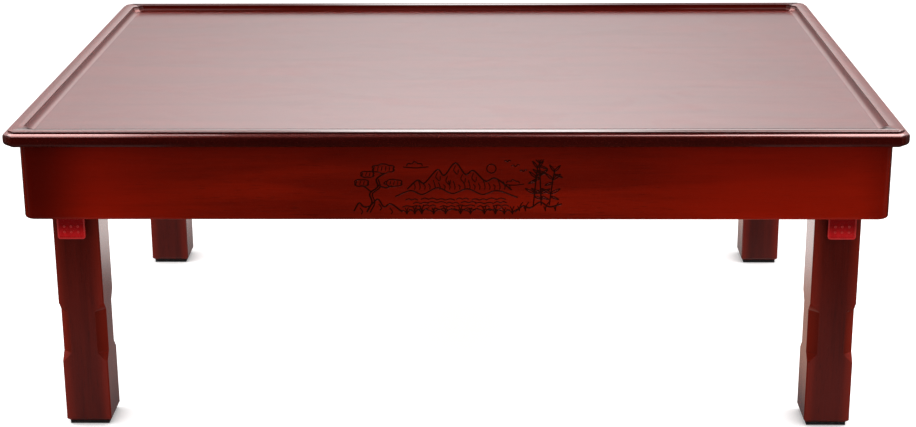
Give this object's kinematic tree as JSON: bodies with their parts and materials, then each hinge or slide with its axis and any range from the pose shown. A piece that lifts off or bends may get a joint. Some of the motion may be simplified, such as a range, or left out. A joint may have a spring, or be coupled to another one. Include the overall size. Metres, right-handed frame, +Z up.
{
  "type": "folding tea table",
  "caption": "Low rectangular tea table with a tray rim and four square legs that fold flat under the top, each freed by a red lever.",
  "frame": {"origin": "on the floor, under the middle of the tabletop", "axes": "+X along the long side, +Y from the carved front to the back, +Z up"},
  "size_m": [0.9, 0.656, 0.3335],
  "materials": {
    "top_lacquer": "gloss lacquer over red-brown stained wood",
    "rim_lacquer": "gloss lacquer over dark red stained wood",
    "apron_lacquer": "gloss lacquer over red-brown stained wood",
    "leg_lacquer": "satin gloss lacquer over dark red-brown stained wood",
    "bare_wood": "unfinished softwood",
    "zinc_steel": "zinc plated",
    "spring_steel": "tempered spring steel",
    "bush_brass": "drawn brass tube",
    "black_rubber": "moulded black rubber",
    "red_plastic": "moulded, slightly translucent red"
  },
  "bodies": {
    "table_top": {"top_panel": "top_lacquer", "rim_front": "rim_lacquer", "rim_back": "rim_lacquer", "rim_left": "rim_lacquer", "rim_right": "rim_lacquer", "apron_front": "apron_lacquer", "apron_back": "apron_lacquer", "apron_left": "apron_lacquer", "apron_right": "apron_lacquer", "hinge_board_left": "bare_wood", "hinge_board_right": "bare_wood", "batten_left": "bare_wood", "batten_right": "bare_wood", "hinge_screws": "zinc_steel", "frame_screws": "zinc_steel", "hinge_bracket_front_left": "zinc_steel", "hinge_bracket_front_right": "zinc_steel", "hinge_bracket_back_left": "zinc_steel", "hinge_bracket_back_right": "zinc_steel", "hinge_pin_front_left": "zinc_steel", "hinge_pin_front_right": "zinc_steel", "hinge_pin_back_left": "zinc_steel", "hinge_pin_back_right": "zinc_steel", "corner_block_front_left": "bare_wood", "corner_block_front_right": "bare_wood", "corner_block_back_left": "bare_wood", "corner_block_back_right": "bare_wood"},
    "folding_leg_front_left": {"leg_front_left": "leg_lacquer", "leg_bush_front_left": "bush_brass", "foot_pad_front_left": "black_rubber", "lever_bracket_front_left": "zinc_steel", "lever_pin_front_left": "zinc_steel", "catch_spring_front_left": "spring_steel", "leg_screws_front_left": "zinc_steel"},
    "lever_front_left": {"release_lever_front_left": "red_plastic"},
    "folding_leg_front_right": {"leg_front_right": "leg_lacquer", "leg_bush_front_right": "bush_brass", "foot_pad_front_right": "black_rubber", "lever_bracket_front_right": "zinc_steel", "lever_pin_front_right": "zinc_steel", "catch_spring_front_right": "spring_steel", "leg_screws_front_right": "zinc_steel"},
    "lever_front_right": {"release_lever_front_right": "red_plastic"},
    "folding_leg_back_left": {"leg_back_left": "leg_lacquer", "leg_bush_back_left": "bush_brass", "foot_pad_back_left": "black_rubber", "lever_bracket_back_left": "zinc_steel", "lever_pin_back_left": "zinc_steel", "catch_spring_back_left": "spring_steel", "leg_screws_back_left": "zinc_steel"},
    "lever_back_left": {"release_lever_back_left": "red_plastic"},
    "folding_leg_back_right": {"leg_back_right": "leg_lacquer", "leg_bush_back_right": "bush_brass", "foot_pad_back_right": "black_rubber", "lever_bracket_back_right": "zinc_steel", "lever_pin_back_right": "zinc_steel", "catch_spring_back_right": "spring_steel", "leg_screws_back_right": "zinc_steel"},
    "lever_back_right": {"release_lever_back_right": "red_plastic"}
  },
  "joints": [
    {"name": "leg_fold_front_left", "type": "hinge", "parent": "table_top", "child": "folding_leg_front_left", "pos_m": [-0.39075, -0.26125, 0.28025], "axis": [0, -1, 0], "range_deg": [0, 90], "deforming": ["catch_spring_front_left"]},
    {"name": "lever_press_front_left", "type": "hinge", "parent": "folding_leg_front_left", "child": "lever_front_left", "pos_m": [-0.39075, -0.2892, 0.24325], "axis": [1, 0, 0], "range_deg": [0, 6], "stiffness_Nm_per_rad": 1, "springref_deg": -8.59, "deforming": ["catch_spring_front_left"]},
    {"name": "leg_fold_front_right", "type": "hinge", "parent": "table_top", "child": "folding_leg_front_right", "pos_m": [0.39075, -0.26125, 0.28025], "axis": [0, 1, 0], "range_deg": [0, 90], "deforming": ["catch_spring_front_right"]},
    {"name": "lever_press_front_right", "type": "hinge", "parent": "folding_leg_front_right", "child": "lever_front_right", "pos_m": [0.39075, -0.2892, 0.24325], "axis": [1, 0, 0], "range_deg": [0, 6], "stiffness_Nm_per_rad": 1, "springref_deg": -8.59, "deforming": ["catch_spring_front_right"]},
    {"name": "leg_fold_back_left", "type": "hinge", "parent": "table_top", "child": "folding_leg_back_left", "pos_m": [-0.39075, 0.26125, 0.28025], "axis": [0, -1, 0], "range_deg": [0, 90], "deforming": ["catch_spring_back_left"]},
    {"name": "lever_press_back_left", "type": "hinge", "parent": "folding_leg_back_left", "child": "lever_back_left", "pos_m": [-0.39075, 0.2892, 0.24325], "axis": [-1, 0, 0], "range_deg": [0, 6], "stiffness_Nm_per_rad": 1, "springref_deg": -8.59, "deforming": ["catch_spring_back_left"]},
    {"name": "leg_fold_back_right", "type": "hinge", "parent": "table_top", "child": "folding_leg_back_right", "pos_m": [0.39075, 0.26125, 0.28025], "axis": [0, 1, 0], "range_deg": [0, 90], "deforming": ["catch_spring_back_right"]},
    {"name": "lever_press_back_right", "type": "hinge", "parent": "folding_leg_back_right", "child": "lever_back_right", "pos_m": [0.39075, 0.2892, 0.24325], "axis": [-1, 0, 0], "range_deg": [0, 6], "stiffness_Nm_per_rad": 1, "springref_deg": -8.59, "deforming": ["catch_spring_back_right"]}
  ]
}
